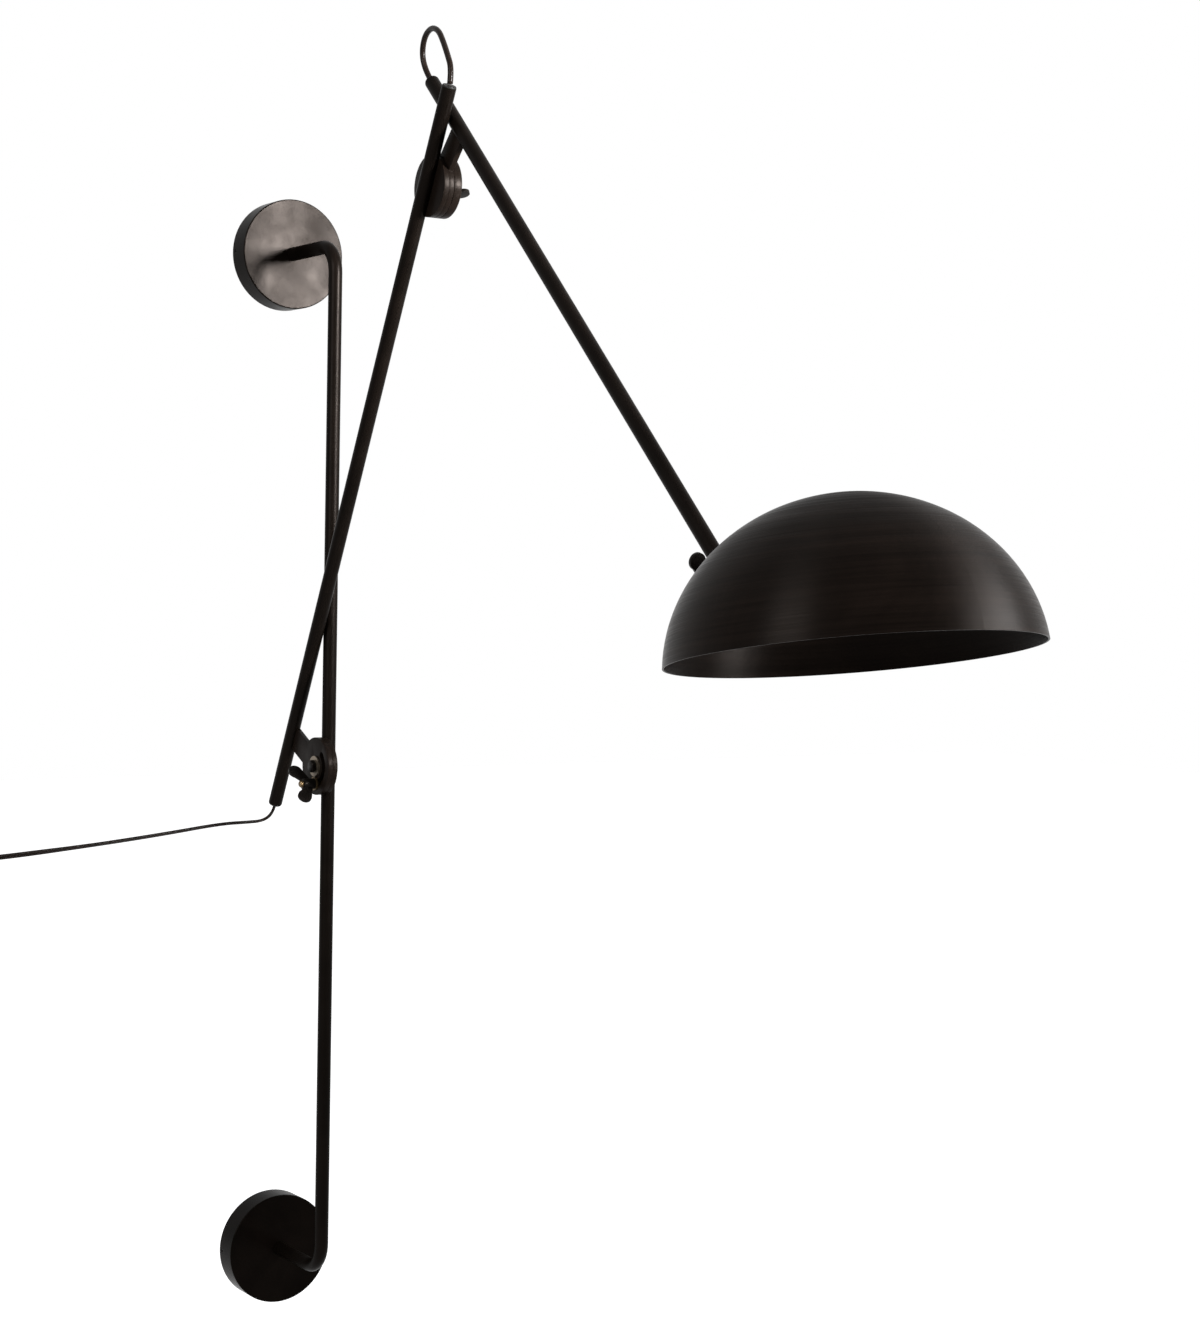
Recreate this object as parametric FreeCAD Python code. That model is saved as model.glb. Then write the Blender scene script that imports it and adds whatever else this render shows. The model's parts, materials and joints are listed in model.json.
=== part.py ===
import FreeCAD, Part
import math
import os

# Hanging pendant wall sconce with two hinged arms and a dome shade.
# Millimetres. Origin: centre of the lower canopy's back, on the wall.
# X runs right along the wall, Y into the wall, Z up. The lamp stands out towards -Y.

V = FreeCAD.Vector

# ---- shared fits
fit_gap = 0.05          # radial or face gap of a fixed fit
turn_gap = 0.05         # gap of a fit that turns
screw_gap = 0.2         # clearance hole round a screw or stud
drill_reach = 12.0      # how far a hole's cutter goes each way from a wall

# ---- tube and wall frame
tube_d = 12.7
tube_wall = 1.2
standoff = 111.0        # wall to the axis of the upright
canopy_spacing = 949.0  # lower canopy centre to upper canopy centre
bend_r = 25.4           # centre-line radius of the bends
canopy_d = 103.0
canopy_depth = 24.5
canopy_wall = 1.2
canopy_edge_r = 1.0
rod_inset = 12.0        # rod length inside a canopy
rod_nut_flats = 19.0
rod_nut_t = 6.0

backplate_t = 1.6
backplate_rim = 12.0
slot_spacing = 60.0
slot_w = 5.0
slot_l = 14.0
set_screw_d = 4.0
set_screw_l = 4.5
set_screw_from_wall = 6.0
set_screw_recess = 0.3

# ---- hinges, one design used three times
hinge_d = 53.0
disc_t = 4.6
plate_t = 4.8
disc_to_axis = 3.95     # tube's axis to the disc's back, which is let in round the tube
clamp_t = 7.6           # second disc at the elbow
tubes_gap = 0.5         # free width between two arms that pass each other
neck_w = 21.0
reach = 56.0            # pivot to the axis of the arm that the plate carries
foot_to_end = 73.0      # plate's foot to the near end of that arm
slot_r = 16.0           # pivot to stud
slot_half_angle = 68.0
bolt_d = 6.0
bolt_head_flats = 10.0
bolt_head_h = 4.0
tip_gap = 0.3           # tube's skin to the inner end of the bolt and of the stud
bolt_washer_d = 19.0
bolt_washer_t = 1.5
stud_d = 6.0
stud_washer_d = 12.6
stud_washer_t = 1.6
stud_out = 3.2
stud_turns = (0.0, 32.6, -15.0)     # way from pivot to stud, round from the tube that carries the disc
wing_barrel_d = 10.0
wing_barrel_l = 11.0
wing_lobe_d = 13.0
wing_lobe_out = 14.5
wing_lobe_rise = 2.5    # lobe centre past the end of the barrel
wing_t = 2.6
wing_turns = (46.0, 160.0, 105.0)   # way that the wings point, round from +Y towards +Z

# ---- arms
pivot1_height = 470.0
lower_lean = 26.4
lower_length = 699.0
pivot2_from_top = 86.0
upper_lean = 46.5
upper_length = 638.0
pivot3_from_end = 12.0  # upper arm's lower end to pivot 3
bushing_flange_t = 1.5
bushing_flange_d = 12.2
bushing_depth = 8.0

# ---- dome and lampholder, in the dome's own frame
dome_d = 254.0
dome_h = 107.5
dome_wall = 1.2
dome_tuck = 4.7         # the rim is this far round below the widest circle, degrees
dome_tilt = 9.2
section_arcs = 5        # tangent arcs in the dome's section
crown_flat_r = 3.0      # the spun crown is flat to a few hundredths of a millimetre here
pivot3_clear = 12.7     # rim's circle to pivot 3, seen along the dome's axis
pivot3_up = 62.5        # rim plane to pivot 3
pad_low = 48.0
pad_high = 76.0
pad_w = 26.0
pad_t = 2.5
strap_t = 2.0
strap_w = 20.0
strap_pad_w = 24.0
strap_up = 70.0
strap_end_r = 14.0
rivet_d = 4.0
rivet_spacing = 18.0
rivet_head_d = 7.0
rivet_head_h = 1.5
rivet_seat = 0.1        # free height under a rivet's flat head on the curved metal
grommet_up = 34.0
grommet_d = 8.0
grommet_flange_d = 12.0
grommet_flange_t = 1.2
nipple_d = 10.0
nipple_bore = 7.0
nipple_below = 8.0
nipple_above = 8.0
nipple_nut_flats = 14.0
nipple_nut_t = 4.0
holder_d = 39.0
holder_neck_d = 31.0
holder_shoulder = 14.0
holder_h = 52.0
holder_edge = 2.0       # bevel round the holder's top; half of it round the mouth
shell_r = 13.1          # bore of the lamp thread
shell_t = 0.5
shell_l = 25.0
shell_recess = 2.0
contact_w = 6.0
contact_t = 1.0
contact_drop = 2.5
contact_inset = 1.0     # thread's bore to the tongue's root
contact_tip_l = 1.0
contact_room = 1.5      # free height between the thread and the tongue's tip

# ---- cables
cable_d = 5.0
lead_points = (
    (-21.5, -20.5, 411.8),
    (-38.0, -21.0, 411.0),
    (-66.0, -21.5, 410.6),
    (-120.0, -22.0, 403.8),
    (-180.0, -22.5, 397.4),
    (-240.0, -23.0, 392.2),
)
loop_points = (
    (-2.0, -271.2, 1094.0),
    (-4.0, -278.5, 1109.0),
    (-6.0, -294.5, 1114.0),
    (-8.0, -310.5, 1108.5),
    (-10.0, -322.5, 1096.5),
    (-12.0, -333.5, 1083.5),
    (-13.2, -342.5, 1070.8),
)
lead_first_run = 10.0
lead_last_run = 35.0
loop_first_run = 12.0
coil_centre = (-327.3, 355.1)
coil_front = -23.6
coil_pitch = 5.6
coil_mean_r = 27.5
coil_turns = 8.25
coil_layers = 4
coil_step_turns = 0.5   # part of a turn in which one layer climbs to the next
coil_end_run = 5.0
plug_run = 32.0         # straight cable from the last turn down to the plug
relief_l = 20.0         # tapered strain relief on the plug
relief_top_d = 6.2
relief_low_d = 9.6
tie_w = 8.0
tie_t = 1.0
tie_gap = 0.35
tie_corner_r = 3.0

plug_l = 30.0
plug_w = 25.0
plug_t = 13.0
plug_top_w = 12.0
plug_edge_r = 2.0
plug_wall_gap = 0.3
blade_spacing = 12.7
blade_w = 6.3
blade_t = 1.5
blade_l = 17.0
blade_in = 6.0

# ---- worked out
tube_r = tube_d / 2
bore_r = tube_r - tube_wall
cable_r = cable_d / 2
arm_step = tube_d + tubes_gap
shank_near = tube_r + tip_gap
disc_far = disc_to_axis + disc_t
plate_near = disc_far + turn_gap
plate_far = plate_near + plate_t
clamp_lift = clamp_t + turn_gap
pivot3_out = dome_d / 2 + pivot3_clear
bolt_washer_near = plate_far + turn_gap
bolt_head_near = bolt_washer_near + bolt_washer_t
stud_washer_near = plate_far + turn_gap
wing_near = stud_washer_near + stud_washer_t + turn_gap
wing_far = wing_near + wing_barrel_l
stud_far = wing_far + stud_out


def turned(phi):
    """Unit direction in the Y-Z plane, phi degrees round from +Y towards +Z."""
    a = math.radians(phi)
    return V(0, math.cos(a), math.sin(a))


def place(shape, origin, phi):
    """Local x goes to turned(phi), local y to turned(phi + 90) and local z to +X."""
    c = math.cos(math.radians(phi))
    s = math.sin(math.radians(phi))
    m = FreeCAD.Matrix(0, 0, 1, origin.x, c, -s, 0, origin.y, s, c, 0, origin.z, 0, 0, 0, 1)
    return placed(shape, m)


def placed(shape, matrix):
    copy = shape.copy()
    copy.Placement = FreeCAD.Placement(matrix).multiply(copy.Placement)
    return copy


def rod(start, direction, radius, length):
    return Part.makeCylinder(radius, length, start, direction)


def pipe(start, direction, outer, inner, length):
    return rod(start, direction, outer, length).cut(rod(start, direction, inner, length))


def slab(side, near, far, radius, at=V(0, 0, 0)):
    """Round slab across local z, between near and far on the given side of the arm."""
    low = near if side > 0 else -far
    return Part.makeCylinder(radius, far - near, V(at.x, at.y, low), V(0, 0, 1))


def block(side, near, far, x0, x1, half_width):
    low = near if side > 0 else -far
    return Part.makeBox(x1 - x0, 2 * half_width, far - near, V(x0, -half_width, low))


def drilled(shape, point, way, radius):
    """Shape with a hole along way, well past both faces of the wall at this point."""
    return shape.cut(rod(point - way * drill_reach, way, radius, 2 * drill_reach))


def hexagon(flats, height, start, direction):
    """Hexagonal prism with its corners turned down to a bevel at the far end."""
    radius = flats / math.sqrt(3)
    prism = Part.Face(Part.makePolygon([
        V(radius * math.cos(math.radians(60 * i)), radius * math.sin(math.radians(60 * i)), 0)
        for i in range(7)])).extrude(V(0, 0, height))
    bevel = radius - flats / 2
    cone = Part.makeCone(radius + height - bevel * 0.5, radius - bevel, height, V(0, 0, 0), V(0, 0, 1))
    prism = prism.common(cone)
    turn = FreeCAD.Rotation(V(0, 0, 1), direction)
    prism.Placement = FreeCAD.Placement(start, turn)
    return prism


# ---- wall frame
def rod_wire(end_y):
    top = canopy_spacing
    out = -standoff
    arc = bend_r * (1 - math.sqrt(0.5))
    edges = [
        Part.LineSegment(V(0, end_y, top), V(0, out + bend_r, top)).toShape(),
        Part.Arc(V(0, out + bend_r, top), V(0, out + arc, top - arc), V(0, out, top - bend_r)).toShape(),
        Part.LineSegment(V(0, out, top - bend_r), V(0, out, bend_r)).toShape(),
        Part.Arc(V(0, out, bend_r), V(0, out + arc, arc), V(0, out + bend_r, 0)).toShape(),
        Part.LineSegment(V(0, out + bend_r, 0), V(0, end_y, 0)).toShape(),
    ]
    return Part.Wire(edges)


def swept(wire, start, direction, radius):
    ring = Part.Wire(Part.makeCircle(radius, start, direction))
    return wire.makePipeShell([ring], True, False)


def wall_rod():
    end_y = -canopy_depth + canopy_wall + rod_inset
    wire = rod_wire(end_y)
    start = V(0, end_y, canopy_spacing)
    outer = swept(wire, start, V(0, -1, 0), tube_r)
    inner = swept(wire, start, V(0, -1, 0), bore_r)
    return outer.cut(inner)


def canopy(z):
    radius = canopy_d / 2
    cup = rod(V(0, -canopy_depth, z), V(0, 1, 0), radius, canopy_depth)
    front = [e for e in cup.Edges if abs(e.BoundBox.YMax + canopy_depth) < 0.01 and len(e.Vertexes) == 1]
    cup = cup.makeFillet(canopy_edge_r, [front[0]])
    hollow = rod(V(0, -canopy_depth + canopy_wall, z), V(0, 1, 0), radius - canopy_wall, canopy_depth)
    hole = rod(V(0, -canopy_depth, z), V(0, 1, 0), tube_r + fit_gap, canopy_depth)
    cup = cup.cut(hollow).cut(hole)
    for side in (-1, 1):
        start = V(side * (radius - 3 * canopy_wall), -set_screw_from_wall, z)
        cup = cup.cut(rod(start, V(side, 0, 0), set_screw_d / 2 + screw_gap, 6 * canopy_wall))
    return cup


def screw_slot(x, z):
    flat = slot_l - slot_w
    cutter = Part.makeBox(flat, 4 * backplate_t, slot_w, V(x - flat / 2, -2 * backplate_t, z - slot_w / 2))
    for end in (-1, 1):
        start = V(x + end * flat / 2, -2 * backplate_t, z)
        cutter = cutter.fuse(rod(start, V(0, 1, 0), slot_w / 2, 4 * backplate_t))
    return cutter


def backplate_radius():
    return canopy_d / 2 - canopy_wall - fit_gap


def backplate(z):
    radius = backplate_radius()
    pan = rod(V(0, -backplate_rim, z), V(0, 1, 0), radius, backplate_rim)
    inside = rod(V(0, -backplate_rim, z), V(0, 1, 0), radius - backplate_t, backplate_rim - backplate_t)
    pan = pan.cut(inside)
    for side in (-1, 1):
        pan = pan.cut(screw_slot(side * slot_spacing / 2, z))
        start = V(side * (radius - 3 * backplate_t), -set_screw_from_wall, z)
        pan = pan.cut(rod(start, V(side, 0, 0), set_screw_d / 2 + fit_gap, 6 * backplate_t))
    return pan


def set_screws(z):
    outer = canopy_d / 2 - set_screw_recess
    screws = []
    for side in (-1, 1):
        start = V(side * (outer - set_screw_l), -set_screw_from_wall, z)
        screw = rod(start, V(side, 0, 0), set_screw_d / 2, set_screw_l)
        socket_start = V(side * (outer - set_screw_l / 3), -set_screw_from_wall, z)
        screws.append(screw.cut(rod(socket_start, V(side, 0, 0), set_screw_d / 4, set_screw_l)))
    return Part.Compound(screws)


def rod_nuts():
    seat = -canopy_depth + canopy_wall
    nuts = []
    for z in (0, canopy_spacing):
        nut = hexagon(rod_nut_flats, rod_nut_t, V(0, seat, z), V(0, 1, 0))
        nuts.append(nut.cut(rod(V(0, seat, z), V(0, 1, 0), tube_r + fit_gap, rod_nut_t)))
    return Part.Compound(nuts)


# ---- hinge pieces. Local z is the pivot's axis. Local x runs along the tube that carries the disc
# on the pieces fixed to it, and from the pivot along the neck on the slotted plate.
# lift moves a piece out past the clamp disc, where the hinge has one.
def stud_at(turn):
    a = math.radians(turn)
    return V(slot_r * math.cos(a), slot_r * math.sin(a), 0)


def fixed_disc(side, stud_turn):
    """Disc let in round a tube and welded to it, with the bolt's and the stud's holes."""
    disc = slab(side, disc_to_axis, disc_far, hinge_d / 2)
    disc = disc.cut(rod(V(-hinge_d, 0, 0), V(1, 0, 0), tube_r, 2 * hinge_d))
    disc = disc.cut(slab(side, disc_to_axis, disc_far, bolt_d / 2))
    return disc.cut(slab(side, disc_to_axis, disc_far, stud_d / 2, stud_at(stud_turn)))


def clamp_disc(side, stud_turn):
    """Second disc, on the bolt and the stud, that the wing nut presses onto the slotted plate."""
    near = plate_far + turn_gap
    far = plate_far + clamp_lift
    disc = slab(side, near, far, hinge_d / 2)
    disc = disc.cut(slab(side, near, far, bolt_d / 2 + fit_gap))
    return disc.cut(slab(side, near, far, stud_d / 2 + fit_gap, stud_at(stud_turn)))


def arc_slot(radius, half_width):
    """Solid of the curved slot, round the side of the plate that faces away from the neck."""
    first = math.radians(180 - slot_half_angle)
    last = math.radians(180 + slot_half_angle)

    def at(r, a):
        return V(r * math.cos(a), r * math.sin(a), 0)

    outer = radius + half_width
    inner = radius - half_width
    end = at(radius, last) + half_width * V(-math.sin(last), math.cos(last), 0)
    start = at(radius, first) - half_width * V(-math.sin(first), math.cos(first), 0)
    edges = [
        Part.Arc(at(outer, first), at(outer, math.pi), at(outer, last)).toShape(),
        Part.Arc(at(outer, last), end, at(inner, last)).toShape(),
        Part.Arc(at(inner, last), at(inner, math.pi), at(inner, first)).toShape(),
        Part.Arc(at(inner, first), start, at(outer, first)).toShape(),
    ]
    face = Part.Face(Part.Wire(edges))
    return face.extrude(V(0, 0, 2 * plate_far)).translated(V(0, 0, -plate_far))


def slotted_plate(side, neck_l):
    plate = slab(side, plate_near, plate_far, hinge_d / 2)
    plate = plate.fuse(block(side, plate_near, plate_far, 0, neck_l, neck_w / 2)).removeSplitter()
    plate = plate.cut(slab(side, plate_near, plate_far, bolt_d / 2 + turn_gap))
    return plate.cut(arc_slot(slot_r, stud_d / 2 + screw_gap))


def arm_plate(side):
    """Slotted plate whose neck is coped and welded to the side of an arm."""
    arm = rod(V(reach, -neck_w, side * arm_step), V(0, 1, 0), tube_r, 2 * neck_w)
    return slotted_plate(side, reach).cut(arm)


def pivot_bolt(side, lift):
    head_near = bolt_head_near + lift
    shank = slab(side, shank_near, head_near + bolt_head_h / 2, bolt_d / 2)
    head = hexagon(bolt_head_flats, bolt_head_h, V(0, 0, side * head_near), V(0, 0, side))
    return shank.fuse(head).removeSplitter()


def bolt_washer(side, lift):
    near = bolt_washer_near + lift
    far = bolt_head_near + lift
    return slab(side, near, far, bolt_washer_d / 2).cut(slab(side, near, far, bolt_d / 2 + fit_gap))


def lock_stud(side, lift, stud_turn):
    far = stud_far + lift
    stud = slab(side, shank_near, far, stud_d / 2, stud_at(stud_turn))
    tip = [e for e in stud.Edges if abs(abs(e.BoundBox.ZMax) - far) < 0.01
           and e.BoundBox.ZLength < 0.01 and len(e.Vertexes) == 1]
    return stud.makeChamfer(stud_d / 8, [tip[0]])


def stud_washer(side, lift, stud_turn):
    near = stud_washer_near + lift
    far = near + stud_washer_t
    ring = slab(side, near, far, stud_washer_d / 2)
    return ring.cut(slab(side, near, far, stud_d / 2 + fit_gap)).translated(stud_at(stud_turn))


def wing(side):
    """One flat wing in the local x-z plane, standing out along +x."""
    root = wing_barrel_d / 4
    lobe_r = wing_lobe_d / 2
    centre = V(wing_lobe_out, 0, wing_far + wing_lobe_rise)
    web = Part.Face(Part.makePolygon([
        V(root, 0, wing_near + wing_barrel_l * 0.15),
        V(centre.x + lobe_r * 0.34, 0, centre.z - lobe_r * 0.94),
        V(centre.x - lobe_r * 0.34, 0, centre.z + lobe_r * 0.94),
        V(root, 0, wing_far - wing_barrel_l * 0.1),
        V(root, 0, wing_near + wing_barrel_l * 0.15)])).extrude(V(0, wing_t, 0))
    lobe = rod(centre, V(0, 1, 0), lobe_r, wing_t)
    both = web.fuse(lobe).translated(V(0, -wing_t / 2, 0))
    if side < 0:
        both = both.mirror(V(0, 0, 0), V(0, 0, 1))
    return both


def wing_nut(side, lift, stud_turn, turn):
    barrel = slab(side, wing_near, wing_far, wing_barrel_d / 2)
    for extra in (0, 180):
        arm = wing(side)
        arm.rotate(V(0, 0, 0), V(0, 0, 1), turn + extra)
        barrel = barrel.fuse(arm)
    nut = barrel.removeSplitter().cut(slab(side, wing_near, stud_far + wing_lobe_d, stud_d / 2 + turn_gap))
    return nut.translated(stud_at(stud_turn) + V(0, 0, side * lift))


# ---- where the arms and pivots are
def arm_plan():
    """Pivots, arm ends and directions, worked out along the chain from the wall.

    Each hinge is its pivot, the side that its plates lie on, the way of the tube that
    carries its disc, and the way of the neck that turns."""
    plan = {}
    lower_up = turned(90 + lower_lean)
    upper_up = turned(90 - upper_lean)
    pivot1 = V(0, -standoff, pivot1_height)
    side1 = V(-arm_step, 0, 0)
    foot1 = pivot1 + turned(lower_lean) * reach + side1
    lower_end = foot1 - lower_up * foot_to_end
    lower_top = lower_end + lower_up * lower_length
    pivot2 = lower_top - lower_up * pivot2_from_top
    neck2 = 180 - upper_lean
    foot2 = pivot2 + turned(neck2) * reach - side1
    upper_top = foot2 + upper_up * foot_to_end
    pivot3 = upper_top - upper_up * (upper_length - pivot3_from_end)
    plan["lower_up"] = lower_up
    plan["upper_up"] = upper_up
    plan["lower_end"] = lower_end
    plan["lower_top"] = lower_top
    plan["upper_top"] = upper_top
    plan["upper_end"] = upper_top - upper_up * upper_length
    plan["hinges"] = (
        (pivot1, -1, -90, lower_lean),
        (pivot2, 1, lower_lean - 90, neck2),
        (pivot3, -1, 90 - upper_lean, 180 - dome_tilt),
    )
    return plan


def arm_tube(start, up, length):
    return pipe(start, up, tube_r, bore_r, length)


def bushing(end, outward):
    """Flanged liner in a tube's end, round the cable."""
    flange = rod(end, outward, bushing_flange_d / 2, bushing_flange_t)
    rim = [e for e in flange.Edges if len(e.Vertexes) == 1]
    far = max(rim, key=lambda e: (e.CenterOfMass - end).dot(outward))
    flange = flange.makeFillet(bushing_flange_t * 0.6, [far])
    sleeve = rod(end - outward * bushing_depth, outward, bore_r - fit_gap, bushing_depth)
    hole = rod(end - outward * 2 * bushing_depth, outward, cable_r + fit_gap, 4 * bushing_depth)
    return flange.fuse(sleeve).removeSplitter().cut(hole)


def arm_wire(start, up, length):
    """Cable through a whole arm, from face to face of its bushings."""
    return rod(start - up * bushing_flange_t, up, cable_r, length + 2 * bushing_flange_t)


# ---- dome, in a frame with x from the dome's axis towards pivot 3, y to the crown
def dome_origin(pivot3):
    rim_side = turned(-dome_tilt)
    crown = turned(90 - dome_tilt)
    centre = pivot3 - rim_side * pivot3_out - crown * pivot3_up
    return centre + V(-arm_step, 0, 0)


def dome_axes():
    tuck = math.radians(dome_tuck)
    wide = dome_d / 2 / math.cos(tuck)
    high = dome_h / (1 - math.sin(tuck))
    return wide, high, -high * math.sin(tuck)


def dome_outline(offset, from_y):
    """Arcs of the dome's section from the height from_y up to the flat at the crown, with its two ends."""
    wide, high, middle = dome_axes()
    wide += offset
    high += offset
    first = math.asin((from_y - middle) / high)
    last = math.acos(crown_flat_r / wide)

    def at(share):
        angle = first + (last - first) * share
        return V(wide * math.cos(angle), middle + high * math.sin(angle), 0)

    arcs = []
    for i in range(section_arcs):
        arcs.append(Part.Arc(at(i / section_arcs), at((i + 0.5) / section_arcs), at((i + 1) / section_arcs)))
    return [arc.toShape() for arc in arcs], at(0), at(1)


def line(start, end):
    return Part.LineSegment(start, end).toShape()


def spun(edges):
    """Solid of revolution about the dome's axis, with its seam on the side away from the arm."""
    solid = Part.Face(Part.Wire(edges)).revolve(V(0, 0, 0), V(0, 1, 0), 360)
    solid.rotate(V(0, 0, 0), V(0, 1, 0), 180)
    return solid


def dome_solid(offset, from_y=0.0):
    """Solid under the dome's surface moved out by offset, down to the height from_y."""
    arcs, low, top = dome_outline(offset, from_y)
    foot = V(0, low.y, 0)
    crown = V(0, top.y, 0)
    return spun(arcs + [line(top, crown), line(crown, foot), line(foot, low)])


def wall_radius(height, offset=0.0):
    wide, high, middle = dome_axes()
    sine = (height - middle) / (high + offset)
    return (wide + offset) * math.sqrt(1 - sine * sine)


def wall_normal(height):
    wide, high, middle = dome_axes()
    sine = (height - middle) / high
    cosine = math.sqrt(1 - sine * sine)
    normal = V(cosine / wide, sine / high, 0)
    return normal.normalize()


def rivet_axes():
    """Where each rivet crosses the shell's outside, with the shell's normal there."""
    up = (pad_low + pad_high) / 2
    turn = math.degrees(math.asin(rivet_spacing / 2 / wall_radius(up)))
    axes = []
    for side in (-1, 1):
        way = FreeCAD.Rotation(V(0, 1, 0), side * turn)
        axes.append((way.multVec(V(wall_radius(up), up, 0)), way.multVec(wall_normal(up))))
    return axes


def grommet_axis():
    return V(wall_radius(grommet_up), grommet_up, 0), wall_normal(grommet_up)


def dome_shell():
    outer, outer_low, outer_top = dome_outline(0.0, 0.0)
    inner, inner_low, inner_top = dome_outline(-dome_wall, 0.0)
    outer_crown = V(0, outer_top.y, 0)
    inner_crown = V(0, inner_top.y, 0)
    crown = [line(outer_top, outer_crown), line(outer_crown, inner_crown), line(inner_crown, inner_top)]
    shell = spun(outer + crown + inner[::-1] + [line(inner_low, outer_low)])
    point, normal = grommet_axis()
    return drilled(cut_rivet_holes(shell), point, normal, grommet_d / 2 + fit_gap)


def skin_patch(inner, outer, low, high, width):
    """Curved pad between two offsets of the dome's surface, on the side of pivot 3."""
    box = Part.makeBox(dome_d, high - low, width, V(dome_d / 4, low, -width / 2))
    return dome_solid(outer, -1.0).cut(dome_solid(inner, -2.0)).common(box)


def cut_rivet_holes(shape):
    for point, normal in rivet_axes():
        shape = drilled(shape, point, normal, rivet_d / 2 + fit_gap)
    return shape


def head_plate():
    """Slotted plate whose neck ends in a curved pad on the dome."""
    plate = slotted_plate(-1, pivot3_out / 2)
    plate = plate.translated(V(0, 0, arm_step))
    plate.rotate(V(0, 0, 0), V(0, 0, 1), 180)
    plate = plate.translated(V(pivot3_out, pivot3_up, 0)).cut(dome_solid(0.0, -1.0))
    pad = skin_patch(0.0, pad_t, pad_low, pad_high, pad_w)
    return cut_rivet_holes(plate.fuse(pad).removeSplitter())


def inner_bracket():
    pad = skin_patch(-dome_wall - strap_t, -dome_wall, pad_low + strap_t, pad_high - strap_t, strap_pad_w)
    strap = Part.makeBox(dome_d / 2, strap_t, strap_w, V(0, strap_up, -strap_w / 2))
    strap = strap.fuse(rod(V(0, strap_up, 0), V(0, 1, 0), strap_end_r, strap_t))
    strap = strap.common(dome_solid(-dome_wall))
    bracket = pad.fuse(strap).removeSplitter()
    bracket = drilled(bracket, V(0, strap_up, 0), V(0, 1, 0), nipple_d / 2 + fit_gap)
    return cut_rivet_holes(bracket)


def head_rivets():
    grip_in = dome_wall + strap_t + rivet_seat
    grip_out = pad_t + rivet_seat
    rivets = []
    for point, normal in rivet_axes():
        inner = point - normal * grip_in
        outer = point + normal * grip_out
        shank = rod(inner, normal, rivet_d / 2, grip_in + grip_out)
        head_out = Part.makeCone(rivet_head_d / 2, rivet_d / 2, rivet_head_h, outer, normal)
        head_in = Part.makeCone(rivet_head_d / 2, rivet_d / 2, rivet_head_h, inner, -normal)
        rivets.append(shank.fuse([head_out, head_in]).removeSplitter())
    return Part.Compound(rivets)


def dome_grommet():
    point, normal = grommet_axis()
    body = rod(point - normal * (dome_wall + grommet_flange_t + screw_gap), normal, grommet_d / 2,
               dome_wall + 2 * (grommet_flange_t + screw_gap))
    outer = point + normal * screw_gap
    inner = point - normal * (dome_wall + screw_gap)
    for start, way in ((outer, normal), (inner, -normal)):
        body = body.fuse(rod(start, way, grommet_flange_d / 2, grommet_flange_t))
    return drilled(body.removeSplitter(), point, normal, cable_r + fit_gap)


# ---- lampholder, hanging under the strap on the dome's axis
def socket_depth():
    return shell_recess + shell_l + contact_room + contact_drop + contact_t


def lampholder_body():
    top = strap_up - fit_gap
    low = top - holder_h
    shoulder = top - holder_shoulder
    lip = holder_d / 2
    neck = holder_neck_d / 2
    mouth = holder_edge / 2
    profile = [V(0, top, 0), V(neck - holder_edge, top, 0), V(neck, top - holder_edge, 0),
               V(neck, shoulder, 0), V(lip, shoulder - (lip - neck), 0), V(lip, low + mouth, 0),
               V(lip - mouth, low, 0), V(0, low, 0), V(0, top, 0)]
    body = Part.Face(Part.makePolygon(profile)).revolve(V(0, 0, 0), V(0, 1, 0), 360)
    socket = rod(V(0, low, 0), V(0, 1, 0), shell_r + shell_t + fit_gap, socket_depth())
    entry = rod(V(0, top - nipple_below, 0), V(0, 1, 0), nipple_d / 2 + fit_gap, nipple_below)
    wireway = rod(V(0, low, 0), V(0, 1, 0), nipple_bore / 4, holder_h)
    return body.cut(socket).cut(entry).cut(wireway)


def lampholder_shell():
    low = strap_up - fit_gap - holder_h + shell_recess
    return pipe(V(0, low, 0), V(0, 1, 0), shell_r + shell_t, shell_r, shell_l)


def lampholder_contact():
    """Sprung tongue across the top of the socket, bent down towards the lamp's centre contact."""
    root = V(contact_inset - shell_r, strap_up - fit_gap - holder_h + socket_depth(), 0)
    half = contact_w / 2
    bend = V(-half, root.y, 0)
    foot = V(half, root.y - contact_drop, 0)
    tip = foot + V(contact_tip_l, 0, 0)
    top = [root, bend, foot, tip]
    below = [point - V(0, contact_t, 0) for point in top[::-1]]
    strip = Part.Face(Part.makePolygon(top + below + [root])).extrude(V(0, 0, contact_w))
    return strip.translated(V(0, -fit_gap, -half))


def lampholder_nipple():
    low = strap_up - fit_gap - nipple_below + screw_gap
    length = nipple_below + strap_t + nipple_above
    return pipe(V(0, low, 0), V(0, 1, 0), nipple_d / 2, nipple_bore / 2, length)


def nipple_nut():
    seat = V(0, strap_up + strap_t, 0)
    nut = hexagon(nipple_nut_flats, nipple_nut_t, seat, V(0, 1, 0))
    return nut.cut(rod(seat, V(0, 1, 0), nipple_d / 2 + fit_gap, nipple_nut_t))


# ---- cables
def round_corner(before, corner, after):
    """Tangent arc at a route's corner: its two ends, its middle and its radius."""
    into = corner - before
    out = after - corner
    run = min(into.Length, out.Length)
    into.normalize()
    out.normalize()
    turn = into.getAngle(out)
    radius = 0.45 * run / math.tan(turn / 2)
    back = 0.45 * run
    start = corner - into * back
    end = corner + out * back
    inward = (out - into).normalize()
    middle = corner + inward * (radius / math.cos(turn / 2) - radius)
    return start, middle, end, radius


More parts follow.
